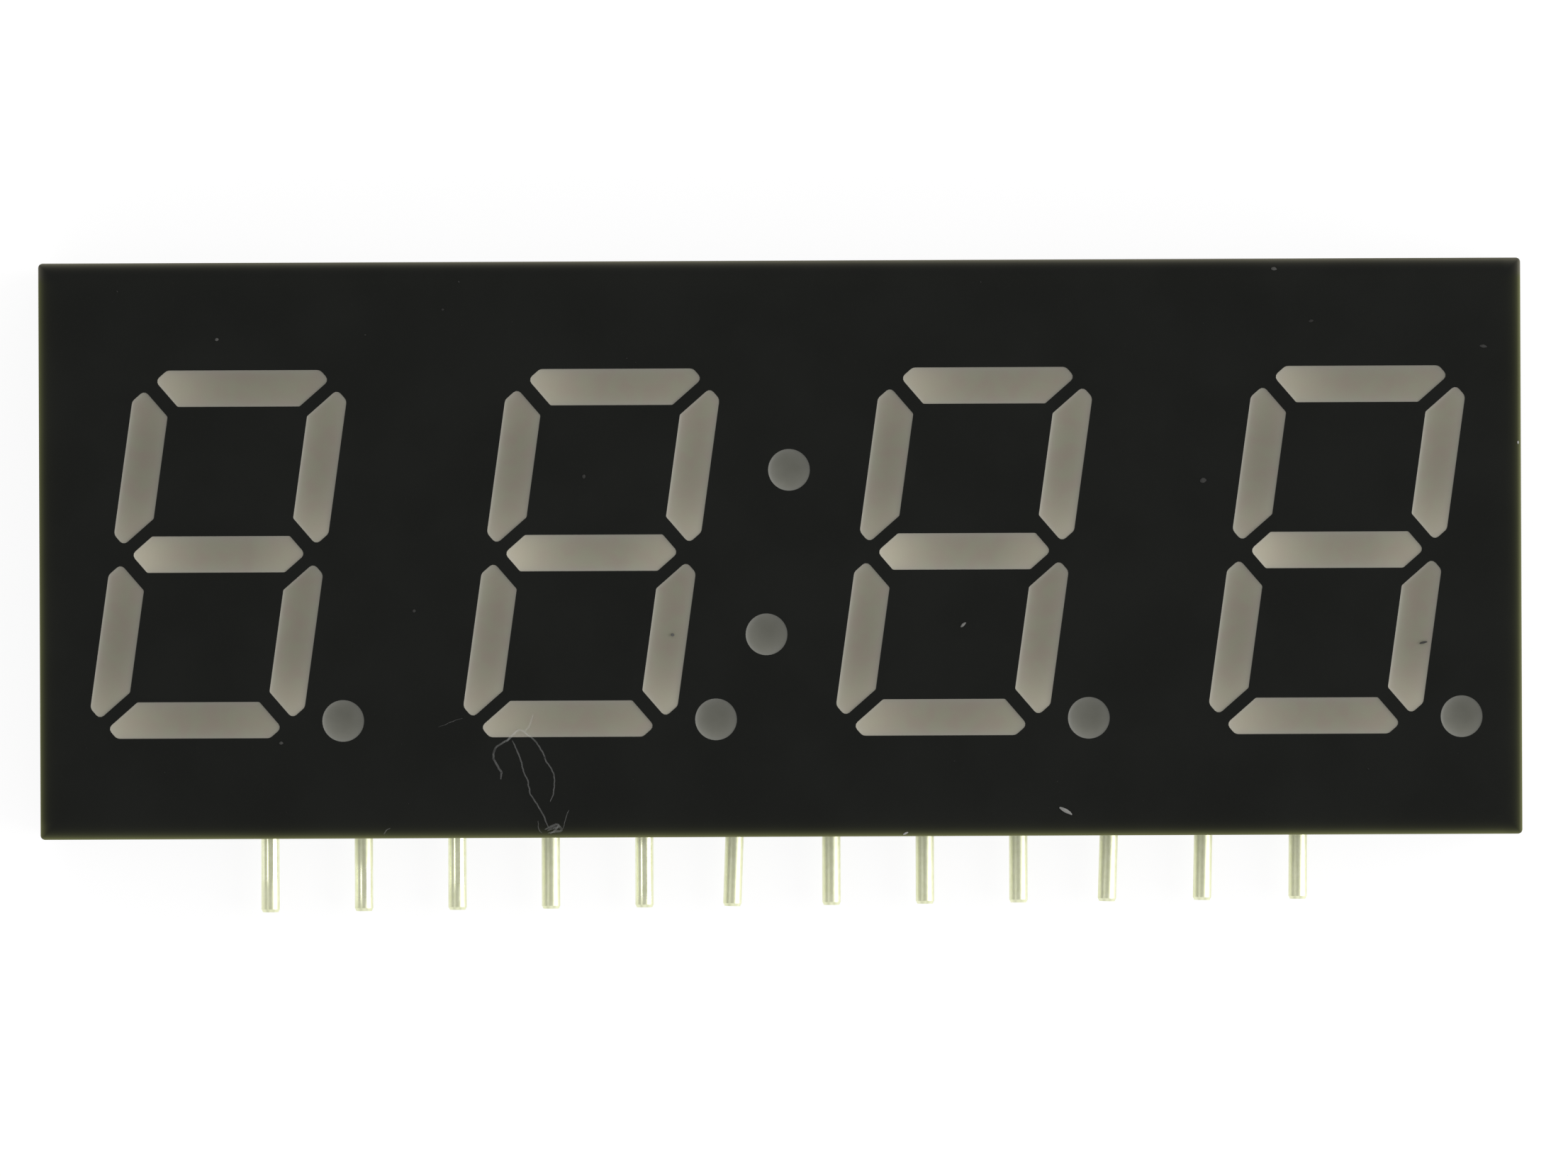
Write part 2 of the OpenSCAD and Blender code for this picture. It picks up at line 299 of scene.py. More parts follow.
def resin(name, dark, light, pale, rim_tone, rim_share, first_digit_painted_shade=0.0):
    """Milky resin with painted light: paler where the lamps' light would come back from the well's walls,
    and greyer along its rim.
    The last argument is the share of painted shade that darkens the first digit, which lies furthest from
    the side lamp."""
    finish = Finish(name, {"Specular IOR Level": 0.35})
    cloud = finish.grain(2.2, 3.0)
    fleck = finish.grain(22.0, 1.0)
    body = finish.mix(cloud.ease(0.3, 0.7), dark, light)
    # Painted light: the pale tone where light would come back from the well's walls
    body = finish.mix(finish.attribute("glow"), body, pale)
    body = finish.mix((finish.attribute("rim") / RIM_REACH).fade() * rim_share, body, rim_tone)
    # Painted shade on the first digit, which lies furthest from the side lamp
    first_digit = 1 - finish.attribute("serial").ramp(0.0, 1.0)
    # The shade attribute carries the painted shade across each bar and dot
    shade = finish.attribute("shade") * (1 - first_digit_painted_shade * first_digit) * (0.985 + 0.03 * fleck)
    scale = {0: body, "Scale": shade}
    finish.feed("Base Color", finish.add("ShaderNodeVectorMath", {"operation": "SCALE"}, scale))
    finish.feed("Roughness", 0.42 + cloud * 0.16)
    finish.bump(fleck, 0.0015, 0.4)
    return finish.material


# Length over which a clean stretch of wire turns dull
SHINE_FADE = 0.3


def tinned_wire(name, shine=None):
    """Drawn wire with a dull tin skin and fine lines along it, and perhaps a clean stretch."""
    finish = Finish(name, {"Metallic": 1.0})
    drawn = finish.grain(22.0, 1.0, 0.5, (1.0, 0.02, 1.0))
    smear = finish.grain(5.0, 3.0)
    skin = finish.mix(smear.ease(0.3, 0.7), tone(233, 236, 199), tone(241, 243, 211))
    skin = finish.mix(drawn.ease(0.5, 0.75) * 0.35, skin, tone(221, 224, 185))
    finish.feed("Base Color", skin)
    roughness = 0.35 + smear * 0.1 + drawn * 0.05
    if shine:
        top, end = shine
        x, y, z = finish.axes(finish.place)
        above_end = y.ease(end - SHINE_FADE, end + SHINE_FADE)
        above_top = y.ease(top - SHINE_FADE, top + SHINE_FADE)
        clean = above_end * (1 - above_top)
        roughness = roughness * (1 - 0.6 * clean)
    finish.feed("Roughness", roughness)
    finish.bump(drawn, 0.003, 0.12)
    return finish.material


def solder():
    """Bright solder with a faintly frosted skin."""
    finish = Finish("solder", {"Metallic": 1.0})
    frost = finish.grain(9.0, 3.0)
    skin = finish.mix(frost.ease(0.35, 0.7), tone(214, 214, 210), tone(192, 192, 188))
    finish.feed("Base Color", skin)
    finish.feed("Roughness", 0.16 + frost * 0.3)
    finish.bump(frost, 0.006, 0.4)
    return finish.material


def board_mask(name, low, high):
    """Green solder mask over woven glass laminate."""
    finish = Finish(name, {"Specular IOR Level": 0.5})
    x, y, z = finish.axes(finish.place)
    weave = finish.math("SINE", x * 9.0) * finish.math("SINE", y * 9.0) * 0.5 + 0.5
    cloud = finish.grain(0.7, 3.0)
    mask = finish.mix(cloud.ease(0.3, 0.7), low, high)
    mask = finish.mix(weave * 0.12, mask, tone(96, 128, 88))
    edge = abs(x).ease(HALF_W - WALL - 0.16, HALF_W - WALL - 0.12)
    finish.feed("Base Color", finish.mix(edge, mask, tone(176, 160, 104)))
    finish.feed("Roughness", 0.28 + cloud * 0.14)
    finish.bump(weave, 0.006, 0.5)
    return finish.material


def bare_die():
    """Sawn semiconductor with fine saw lines."""
    finish = Finish("bare_die", {})
    saw = finish.grain(30.0, 2.0, 0.5, (1.0, 0.2, 1.0))
    finish.feed("Base Color", finish.mix(saw.ease(0.35, 0.65), tone(92, 86, 80), tone(120, 112, 102)))
    finish.feed("Roughness", 0.3 + saw * 0.3)
    return finish.material


def dust():
    """Dull flecks, each as pale as its own light value."""
    finish = Finish("dust", {"Specular IOR Level": 0.1})
    cloud = finish.grain(12.0, 3.0)
    share = {0: tone(255, 254, 248)[:3], "Scale": finish.attribute("light") * (0.85 + cloud * 0.3)}
    finish.feed("Base Color", finish.add("ShaderNodeVectorMath", {"operation": "SCALE"}, share))
    finish.feed("Roughness", 0.8 + cloud * 0.2)
    return finish.material


def lint_fibre():
    """Thin, half clear fibre."""
    finish = Finish("lint_fibre", {"Specular IOR Level": 0.1, "Alpha": 0.05})
    cloud = finish.grain(6.0, 3.0)
    finish.feed("Base Color", finish.mix(cloud.ease(0.3, 0.7), tone(196, 197, 194), tone(222, 223, 220)))
    finish.feed("Roughness", 0.7 + cloud * 0.2)
    return finish.material


# Pieces


def keep(name, mesh, nodes=()):
    """Puts a finished mesh on the body, in place of the solids that it stands for."""
    piece = bpy.data.objects.new(name, mesh)
    bpy.context.scene.collection.objects.link(piece)
    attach(piece, "root")
    if nodes:
        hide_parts(*nodes)


def clothe(node, material):
    """Gives a solid of the part its finish."""
    solid = cad[node]
    solid.data.materials.clear()
    solid.data.materials.append(material)


def place_mesh(name, places, edges=(), sizes=None, turns=None, lights=None):
    """Points in millimetres, with a size, a turn and a lightness for what is set down there."""
    mesh = bpy.data.meshes.new(name)
    mesh.from_pydata([Vector(p) * MM for p in places], edges, [])
    size = mesh.attributes.new("size", "FLOAT_VECTOR", "POINT")
    turn = mesh.attributes.new("turn", "FLOAT_VECTOR", "POINT")
    for i in range(len(places)):
        size.data[i].vector = sizes[i] if sizes else (1.0, 1.0, 1.0)
        turn.data[i].vector = turns[i] if turns else (0.0, 0.0, 0.0)
    if lights:
        mesh.attributes.new("light", "FLOAT", "POINT").data.foreach_set("value", lights)
    return mesh


def new_tree(name, inputs):
    """An empty tree that takes geometry and the named inputs."""
    tree = bpy.data.node_groups.new(name, "GeometryNodeTree")
    tree.interface.new_socket("Geometry", in_out="INPUT", socket_type="NodeSocketGeometry")
    for socket, kind in inputs:
        tree.interface.new_socket(socket, in_out="INPUT", socket_type=kind)
    tree.interface.new_socket("Geometry", in_out="OUTPUT", socket_type="NodeSocketGeometry")
    sheet = Sheet(tree)
    return sheet, sheet.add("NodeGroupInput")


def close_tree(sheet, given, geometry):
    """Ends a tree in real geometry with its material."""
    real = sheet.add("GeometryNodeRealizeInstances", {}, {"Geometry": geometry})
    inputs = {"Geometry": real, "Material": given.out("Material")}
    coated = sheet.add("GeometryNodeSetMaterial", {}, inputs)
    end = sheet.tree.nodes.new("NodeGroupOutput")
    sheet.set(end.inputs[0], coated)
    return sheet.tree


def grow(tree, base, values):
    """Runs a tree on a base mesh and returns the result as a plain mesh."""
    carrier = bpy.data.objects.new(base.name, base)
    bpy.context.scene.collection.objects.link(carrier)
    modifier = carrier.modifiers.new("grow", "NODES")
    modifier.node_group = tree
    for item in tree.interface.items_tree:
        if item.in_out == "INPUT" and item.name in values:
            modifier[item.identifier] = values[item.name]
    bpy.context.view_layer.update()
    depsgraph = bpy.context.evaluated_depsgraph_get()
    evaluated = carrier.evaluated_get(depsgraph)
    mesh = bpy.data.meshes.new_from_object(evaluated, preserve_all_data_layers=True, depsgraph=depsgraph)
    carrier.modifiers.remove(modifier)
    bpy.data.objects.remove(carrier)
    return mesh


def repeat_tree():
    """Sets one shape down at every point of the base mesh, with the point's size and turn."""
    inputs = [("Shape", "NodeSocketObject"), ("Material", "NodeSocketMaterial")]
    sheet, given = new_tree("set_down_at_places", inputs)
    index = sheet.add("GeometryNodeInputIndex")
    store = {"Geometry": given.out("Geometry"), "Name": "serial", "Value": index}
    places = sheet.add("GeometryNodeStoreNamedAttribute", {"data_type": "FLOAT"}, store)
    named = {"data_type": "FLOAT_VECTOR"}
    size = sheet.add("GeometryNodeInputNamedAttribute", named, {"Name": "size"}, "Attribute")
    turn = sheet.add("GeometryNodeInputNamedAttribute", named, {"Name": "turn"}, "Attribute")
    shape = sheet.add("GeometryNodeObjectInfo", {}, {"Object": given.out("Shape")}, "Geometry")
    facing = sheet.add("FunctionNodeEulerToRotation", {}, {"Euler": turn})
    inputs = {"Points": places, "Instance": shape, "Rotation": facing, "Scale": size}
    return close_tree(sheet, given, sheet.add("GeometryNodeInstanceOnPoints", {}, inputs))


def thread_tree():
    """Round thread along the lines of the base mesh, softly waved and as thick as each point's share."""
    inputs = [
        ("Thickness", "NodeSocketFloat"),
        ("Spacing", "NodeSocketFloat"),
        ("Wave", "NodeSocketFloat"),
        ("Wave size", "NodeSocketFloat"),
        ("Material", "NodeSocketMaterial"),
    ]
    sheet, given = new_tree("thread_along_lines", inputs)
    lines = sheet.add("GeometryNodeMeshToCurve", {}, {0: given.out("Geometry")})
    curved = sheet.add("GeometryNodeCurveSplineType", {"spline_type": "CATMULL_ROM"}, {"Curve": lines})
    inputs = {"Curve": curved, "Length": given.out("Spacing")}
    fine = sheet.add("GeometryNodeResampleCurve", {"mode": "LENGTH"}, inputs)
    place = sheet.add("GeometryNodeInputPosition")
    noise = {"Vector": place, "Scale": 1 / given.out("Wave size"), "Detail": 1.0}
    wave = sheet.add("ShaderNodeTexNoise", {"noise_dimensions": "3D"}, noise, "Color")
    centred = sheet.add("ShaderNodeVectorMath", {"operation": "SUBTRACT"}, {0: wave, 1: (0.5, 0.5, 0.5)})
    inputs = {0: centred, "Scale": given.out("Wave")}
    offset = sheet.add("ShaderNodeVectorMath", {"operation": "SCALE"}, inputs)
    waved = sheet.add("GeometryNodeSetPosition", {}, {"Geometry": fine, "Offset": offset})
    named = {"data_type": "FLOAT_VECTOR"}
    size = sheet.add("GeometryNodeInputNamedAttribute", named, {"Name": "size"}, "Attribute")
    round_section = {"Resolution": 6, "Radius": given.out("Thickness") / 2}
    ring = sheet.add("GeometryNodeCurvePrimitiveCircle", {"mode": "RADIUS"}, round_section)
    inputs = {"Curve": waved, "Profile Curve": ring, "Scale": sheet.axes(size)[0], "Fill Caps": True}
    return close_tree(sheet, given, sheet.add("GeometryNodeCurveToMesh", {}, inputs))


def track_tree():
    """Flat copper tracks with rounded turns along the lines of the base mesh."""
    inputs = [
        ("Width", "NodeSocketFloat"),
        ("Height", "NodeSocketFloat"),
        ("Turn radius", "NodeSocketFloat"),
        ("Material", "NodeSocketMaterial"),
    ]
    sheet, given = new_tree("tracks_along_lines", inputs)
    lines = sheet.add("GeometryNodeMeshToCurve", {}, {0: given.out("Geometry")})
    turns = {"Curve": lines, "Count": 5, "Radius": given.out("Turn radius"), "Limit Radius": True}
    curved = sheet.add("GeometryNodeFilletCurve", {"mode": "POLY"}, turns)
    level = sheet.add("GeometryNodeSetCurveNormal", {"mode": "Z_UP"}, {"Curve": curved})
    sides = {"Width": given.out("Width"), "Height": given.out("Height")}
    strip = sheet.add("GeometryNodeCurvePrimitiveQuadrilateral", {"mode": "RECTANGLE"}, sides)
    inputs = {"Curve": level, "Profile Curve": strip, "Fill Caps": True}
    return close_tree(sheet, given, sheet.add("GeometryNodeCurveToMesh", {}, inputs))


def loft(name, spine, nearest, rings, marks, crease):
    """Closed skin over a line of spine points and rings of points around it, in millimetres.
    Each point of the first ring is joined to its nearest spine point, and the last ring is filled.
    marks holds the named values of all points, spine first, and crease is the ring with a sharp edge."""
    bm = bmesh.new()
    layers = {key: bm.verts.layers.float.new(key) for key in marks}
    rows = []
    for k, row in enumerate([spine] + rings):
        rows.append([bm.verts.new(Vector(p) * MM) for p in row])
        for key, layer in layers.items():
            for vert, value in zip(rows[k], marks[key][k]):
                vert[layer] = value
    core = rows.pop(0)
    count = len(rows[0])
    for i in range(count):
        j = (i + 1) % count
        step = 1 if nearest[j] > nearest[i] else -1
        path = [core[k] for k in range(nearest[i], nearest[j] + step, step)]
        if nearest[i] == nearest[j]:
            path = [core[nearest[i]]]
        bm.faces.new([rows[0][i]] + path + [rows[0][j]])
        for upper, lower in zip(rows, rows[1:]):
            bm.faces.new((upper[i], lower[i], lower[j], upper[j]))
    bm.faces.new(rows[-1][::-1])
    bmesh.ops.recalc_face_normals(bm, faces=bm.faces)
    for face in bm.faces:
        face.smooth = True
    for i in range(count):
        bm.edges.get((rows[crease][i], rows[crease][(i + 1) % count])).smooth = False
    mesh = bpy.data.meshes.new(name)
    bm.to_mesh(mesh)
    bm.free()
    return mesh


def shape_object(name, meshes):
    """An object outside the scene that holds several meshes, to be set down by a tree."""
    bm = bmesh.new()
    for mesh in meshes:
        bm.from_mesh(mesh)
    joined = bpy.data.meshes.new(name)
    bm.to_mesh(joined)
    bm.free()
    return bpy.data.objects.new(name, joined)


# Resin

# Distance of each ring of the resin's surface from the wall of its well
SURFACE_RINGS = [0.36, 0.24, 0.16, 0.1, 0.06, 0.03, 0.012, 0.0]
# How the resin climbs its wall
CLIMB = 0.028
CLIMB_REACH = 0.05
EDGE_STEP = 0.14
DOT_POINTS = 48
# Shares of the window's length and width over a die that the resin's lower end fills
WINDOW_FILL_L = 0.92
WINDOW_FILL_W = 0.96


def surface_z(rim):
    """Height of the resin at a distance from its wall."""
    return -RESIN_SINK + CLIMB * math.exp(-rim / CLIMB_REACH)


def slanted(x, y):
    """A place on an upright digit, moved to where it is on the slanted one."""
    return x + SLANT * y, y


def bar_corners(bar):
    """The six corners of a bar, before rounding."""
    letter, middle, length, upright, out, shift, stroke = bar
    tip = length / 2 - TIP_GAP
    outer = stroke / 2 - shift
    inner = stroke / 2 + shift
    corners = [(tip, 0), (tip - outer, outer), (outer - tip, outer)]
    corners += [(-tip, 0), (inner - tip, -inner), (tip - inner, -inner)]
    flat = []
    for u, v in corners:
        x, y = (out * v, u) if upright else (u, out * v)
        flat.append(Vector(slanted(middle[0] + x, middle[1] + y)))
    return flat


def rounded(points, radii):
    """A closed outline with each corner turned into an arc of its own radius."""
    made = []
    for i, (p, radius) in enumerate(zip(points, radii)):
        to_last = (points[i - 1] - p).normalized()
        to_next = (points[(i + 1) % len(points)] - p).normalized()
        half = math.acos(to_last.dot(to_next)) / 2
        centre = p + (to_last + to_next).normalized() * radius / math.sin(half)
        start = p + to_last * radius / math.tan(half) - centre
        turn = math.copysign(math.pi - 2 * half, to_next.x * to_last.y - to_next.y * to_last.x)
        for step in range(ARC_STEPS + 1):
            t = turn * step / ARC_STEPS
            x = start.x * math.cos(t) - start.y * math.sin(t)
            y = start.x * math.sin(t) + start.y * math.cos(t)
            made.append(centre + Vector((x, y)))
    return made


def divided(points, step):
    """A closed outline whose long edges have points along them."""
    made = []
    for i, p in enumerate(points):
        q = points[(i + 1) % len(points)]
        count = max(1, round((q - p).length / step))
        made += [p.lerp(q, k / count) for k in range(count)]
    return made


# How bright each bar is, and how much painted light makes it paler toward its lower or left end and toward
# its other end
BAR_PAINTED_LIGHT = {
    "a": (1.05, 0.67, 0.07),
    "b": (1.00, 0.58, 0.06),
    "c": (0.98, 0.71, 0.00),
    "d": (1.07, 0.62, 0.15),
    "e": (0.965, 0.54, 0.10),
    "f": (0.93, 0.48, 0.14),
    "g": (1.12, 0.90, 0.30),
}


def bar_painted_light(letter, along):
    """Share of the painted light's pale tone at a place from -1 at the lower or left tip to 1 at the
    other.
    """
    level, far, near = BAR_PAINTED_LIGHT[letter]
    to_far = max(0.0, min(1.0, (0.1 - along) / 1.05))
    to_near = max(0.0, min(1.0, (along - 0.35) / 0.6))
    return far * to_far**2.2 + near * to_near


def bar_painted_shade(letter, upright, across):
    """Painted brightness at a place from -1 at the lower or left long edge to 1 at the other: the bar's
    level, with painted light toward the lower edge of a flat bar and toward both sides of an upright one.
    """
    if upright:
        return BAR_PAINTED_LIGHT[letter][0] * (1 - 0.035 * across + 0.17 * across**2)
    return BAR_PAINTED_LIGHT[letter][0] * (1 - 0.09 * across)


def dot_painted_shade(x, y):
    """Painted brightness at a place on a dot of radius 1, lighter toward its rim, its left and its bottom.
    """
    return 1 + 0.36 * (x * x + y * y) - 0.13 * x - 0.21 * y


def bar_mesh(bar):
    """The resin of one bar, from its surface down to the window over its die."""
    letter, middle, length, upright, out, shift, stroke = bar
    tip = length / 2 - TIP_GAP
    spine = tip - stroke / 2 - shift
    half = stroke / 2
    line = (middle[0] - out * shift, middle[1]) if upright else (middle[0], middle[1] - out * shift)
    side_r = SHOULDER_R if shift else HEEL_R
    radii = [TIP_R, side_r, side_r, TIP_R, HEEL_R, HEEL_R]
    outline = divided(rounded(bar_corners(bar), radii), EDGE_STEP)
    local = []
    for p in outline:
        x, y = p.x - SLANT * p.y - line[0], p.y - line[1]
        local.append((y, x) if upright else (x, y))

    def ring(points, z):
        made = []
        for u, w in points:
            x, y = (w, u) if upright else (u, w)
            made.append((*slanted(line[0] + x, line[1] + y), z))
        return made

    rings = []
    marks = {"glow": [], "shade": [], "rim": []}

    def add(points, z, rim):
        rings.append(ring(points, z))
        marks["glow"].append([bar_painted_light(letter, u / tip) for u, w in points])
        marks["shade"].append([bar_painted_shade(letter, upright, w / half) for u, w in points])
        marks["rim"].append([rim] * len(points))

    steps = round(2 * spine / EDGE_STEP)
    add([(spine * (2 * k / steps - 1), 0.0) for k in range(steps + 1)], surface_z(half), half)
    nearest = [round((max(-spine, min(spine, u)) / spine + 1) / 2 * steps) for u, w in local]
    for rim in SURFACE_RINGS:
        share = 1 - rim / half
        inset = []
        for u, w in local:
            foot = max(-spine, min(spine, u))
            inset.append((foot + (u - foot) * share, w * share))
        add(inset, surface_z(rim), rim)
    add(local, -MOUTH_H, 0.0)
    share_l = WINDOW_L / 2 * WINDOW_FILL_L / tip
    share_w = WINDOW_W / 2 * WINDOW_FILL_W / half
    add([(u * share_l, w * share_w) for u, w in local], -WELL_DEPTH, 0.0)
    return loft("bar_" + letter, rings[0], nearest, rings[1:], marks, len(SURFACE_RINGS) - 1)


def circle(count):
    """Points on a circle of radius 1."""
    turns = [2 * math.pi * i / count for i in range(count)]
    return [(math.cos(t), math.sin(t)) for t in turns]


def dot_mesh():
    """The resin of one dot, from its surface down to the window over its die."""
    count = DOT_POINTS
    radius = DOT_D / 2
    levels = [(radius - rim, surface_z(rim), rim) for rim in SURFACE_RINGS]
    levels += [(radius, -MOUTH_H, 0.0), (WINDOW_W / 2 * WINDOW_FILL_W, -WELL_DEPTH, 0.0)]
    centre = surface_z(radius)
    rings = []
    marks = {"glow": [[0.0]], "shade": [[dot_painted_shade(0, 0)]], "rim": [[radius]]}
    for r, z, rim in levels:
        rings.append([(r * x, r * y, z) for x, y in circle(count)])
        marks["glow"].append([0.0] * count)
        marks["shade"].append([dot_painted_shade(r * x / radius, r * y / radius) for x, y in circle(count)])
        marks["rim"].append([rim] * count)
    return loft("dot", [(0, 0, centre)], [0] * count, rings, marks, len(SURFACE_RINGS) - 1)


def digit_place(n):
    """Middle of a digit on the face, counted from 1 at the left."""
    return ((n - (DIGIT_COUNT + 1) / 2) * DIGIT_PITCH + DIGITS_X, DIGITS_Y, 0.0)


def make_resin(repeat, bar_resin, dot_resin):
    """The resin of the bars and of the dots, each set down by the repeat tree."""
    digit = shape_object("digit_shape", [bar_mesh(bar) for bar in BARS])
    digits = range(1, DIGIT_COUNT + 1)
    places = place_mesh("bar_places", [digit_place(n) for n in digits])
    bars = grow(repeat, places, {"Shape": digit, "Material": bar_resin})
    names = [f"digit_{n}_segment_{bar[0]}" for n in digits for bar in BARS]
    keep("resin_bars", bars, names)

    dot = shape_object("dot_shape", [dot_mesh()])
    foot = slanted(DIGIT_W / 2 + DOT_GAP + DOT_D / 2, -DIGIT_H / 2 - DOT_DROP + DOT_D / 2)
    spots = []
    for n in digits:
        x, y, z = digit_place(n)
        spots.append((x + foot[0], y + foot[1], z))
    for side in (1, -1):
        x, y = slanted(0, side * COLON_H / 2)
        spots.append((x + DIGITS_X, y + DIGITS_Y, 0.0))
    dots = grow(repeat, place_mesh("dot_places", spots), {"Shape": dot, "Material": dot_resin})
    names = [f"digit_{n}_point" for n in digits] + ["colon_upper", "colon_lower"]
    keep("resin_dots", dots, names)


# Dust and lint on the face

# Flecks: place on the face, length, width, height, turn in degrees and screen tone
FLECKS = [
    (-15.09, 5.67, 0.09, 0.08, 0.03, 20, 78),
    (7.63, -7.07, 0.36, 0.10, 0.05, -30, 128),
    (4.90, -2.06, 0.17, 0.07, 0.04, 42, 112),
    (-9.83, -1.63, 0.08, 0.08, 0.03, 0, 54),
    (-5.26, 1.96, 0.10, 0.09, 0.03, 80, 52),
    (-9.03, 6.45, 0.07, 0.06, 0.03, 0, 46),
    (11.35, 1.78, 0.16, 0.13, 0.03, 10, 56),
    (13.27, 7.45, 0.14, 0.09, 0.03, -10, 72),
    (14.26, 6.05, 0.12, 0.07, 0.03, 12, 47),
    (18.88, 5.35, 0.18, 0.08, 0.03, -9, 57),
    (-13.41, -5.16, 0.10, 0.08, 0.03, 0, 66),
    (-2.90, -2.30, 0.09, 0.08, 0.03, 0, 84),
    (17.24, -2.59, 0.20, 0.06, 0.04, 12, 62),
    (19.80, 2.77, 0.08, 0.05, 0.03, 90, 150),
    (3.33, -7.65, 0.14, 0.05, 0.03, 25, 150),
]
# Seed of a fleck's uneven outline, and share of its height at which its middle lies
FLECK_SEED = 3
FLECK_LIFT = 0.3
# Fine flecks, strewn at random: number, seed, least width, most that is added to it, length over width,
# darkest and lightest tone, and the border that stays clear
FINE_FLECKS = 90
FINE_SEED = 11
FINE_W = 0.012
FINE_W_MORE = 0.02
FINE_STRETCH = 1.5
FINE_TONES = (44, 62)
FINE_BORDER = 0.5

# Strands of lint: share of the full thickness at the first and last point, then points on the face
LINT_D = 0.05
LINT = [
    (1.2, 0.7, [
        (-7.53, -6.16), (-7.51, -5.97), (-7.64, -5.76), (-7.72, -5.55), (-7.68, -5.35), (-7.54, -5.21),
        (-7.33, -5.10), (-7.16, -4.92), (-7.02, -4.83), (-6.89, -4.87), (-6.73, -5.01), (-6.54, -5.21),
        (-6.40, -5.43), (-6.31, -5.67), (-6.13, -5.96), (-6.09, -6.18), (-6.11, -6.51), (-6.19, -6.76),
    ]),
    (1.3, 1.1, [
        (-7.44, -5.16), (-7.31, -5.08), (-7.15, -4.91), (-7.01, -4.84), (-6.88, -4.89), (-6.74, -5.03),
    ]),
    (1.2, 1.1, [(-6.89, -4.87), (-6.78, -4.76), (-6.71, -4.61), (-6.65, -4.41)]),
    (0.75, 0.8, [
        (-7.22, -5.12), (-7.11, -5.34), (-6.98, -5.67), (-6.91, -5.96), (-6.79, -6.25), (-6.73, -6.54),
        (-6.53, -6.87), (-6.35, -7.20), (-6.26, -7.44),
    ]),
    (1.2, 1.2, [
        (-6.28, -7.53), (-6.14, -7.47), (-5.95, -7.44), (-5.90, -7.53), (-6.03, -7.56), (-6.25, -7.60),
    ]),
    (1.2, 1.2, [(-6.35, -7.50), (-6.18, -7.42), (-6.02, -7.38), (-5.92, -7.44)]),
    (1.0, 1.0, [(-6.20, -7.62), (-6.05, -7.50), (-5.98, -7.38)]),
    (0.5, 0.5, [(-6.54, -7.27), (-6.50, -7.53), (-6.41, -7.60)]),
    (0.6, 0.35, [(-5.86, -7.49), (-5.77, -7.16), (-5.70, -6.98)]),
    (0.6, 0.6, [(-10.50, -7.45), (-10.60, -7.52), (-10.67, -7.61)]),
    (0.2, 0.3, [(-9.18, -4.75), (-8.96, -4.66), (-8.74, -4.57), (-8.56, -4.51)]),
]
# Share of the thickness at a strand's ends, height of its middle, step between points, and its waves
LINT_END = 0.5
LINT_LIFT = 0.55 * LINT_D
LINT_STEP = 0.03
LINT_WAVE = 0.05
LINT_WAVE_L = 0.12


def edge_drop(y):
    """How far the rounded upper or lower edge has fallen below the face."""
    over = max(0.0, min(EDGE_R, abs(y) - HALF_H + EDGE_R))
    return EDGE_R - math.sqrt(EDGE_R**2 - over**2)


def fleck_shape():
    """A small lump with an uneven outline."""
    lump = random.Random(FLECK_SEED)
    bm = bmesh.new()
    bmesh.ops.create_icosphere(bm, subdivisions=2, radius=0.5 * MM)
    for vert in bm.verts:
        vert.co *= 0.8 + 0.4 * lump.random()
    mesh = bpy.data.meshes.new("fleck")
    bm.to_mesh(mesh)
    bm.free()
    return bpy.data.objects.new("fleck", mesh)


def on_digit(x, y):
    """True within the box around any digit's bars and point."""
    lean = SLANT * DIGIT_H / 2
    half_w = DIGIT_W / 2 + lean + DOT_GAP + DOT_D
    if abs(y - DIGITS_Y) > DIGIT_H / 2 + DOT_DROP:
        return False
    return any(abs(x - digit_place(n)[0]) < half_w for n in range(1, DIGIT_COUNT + 1))


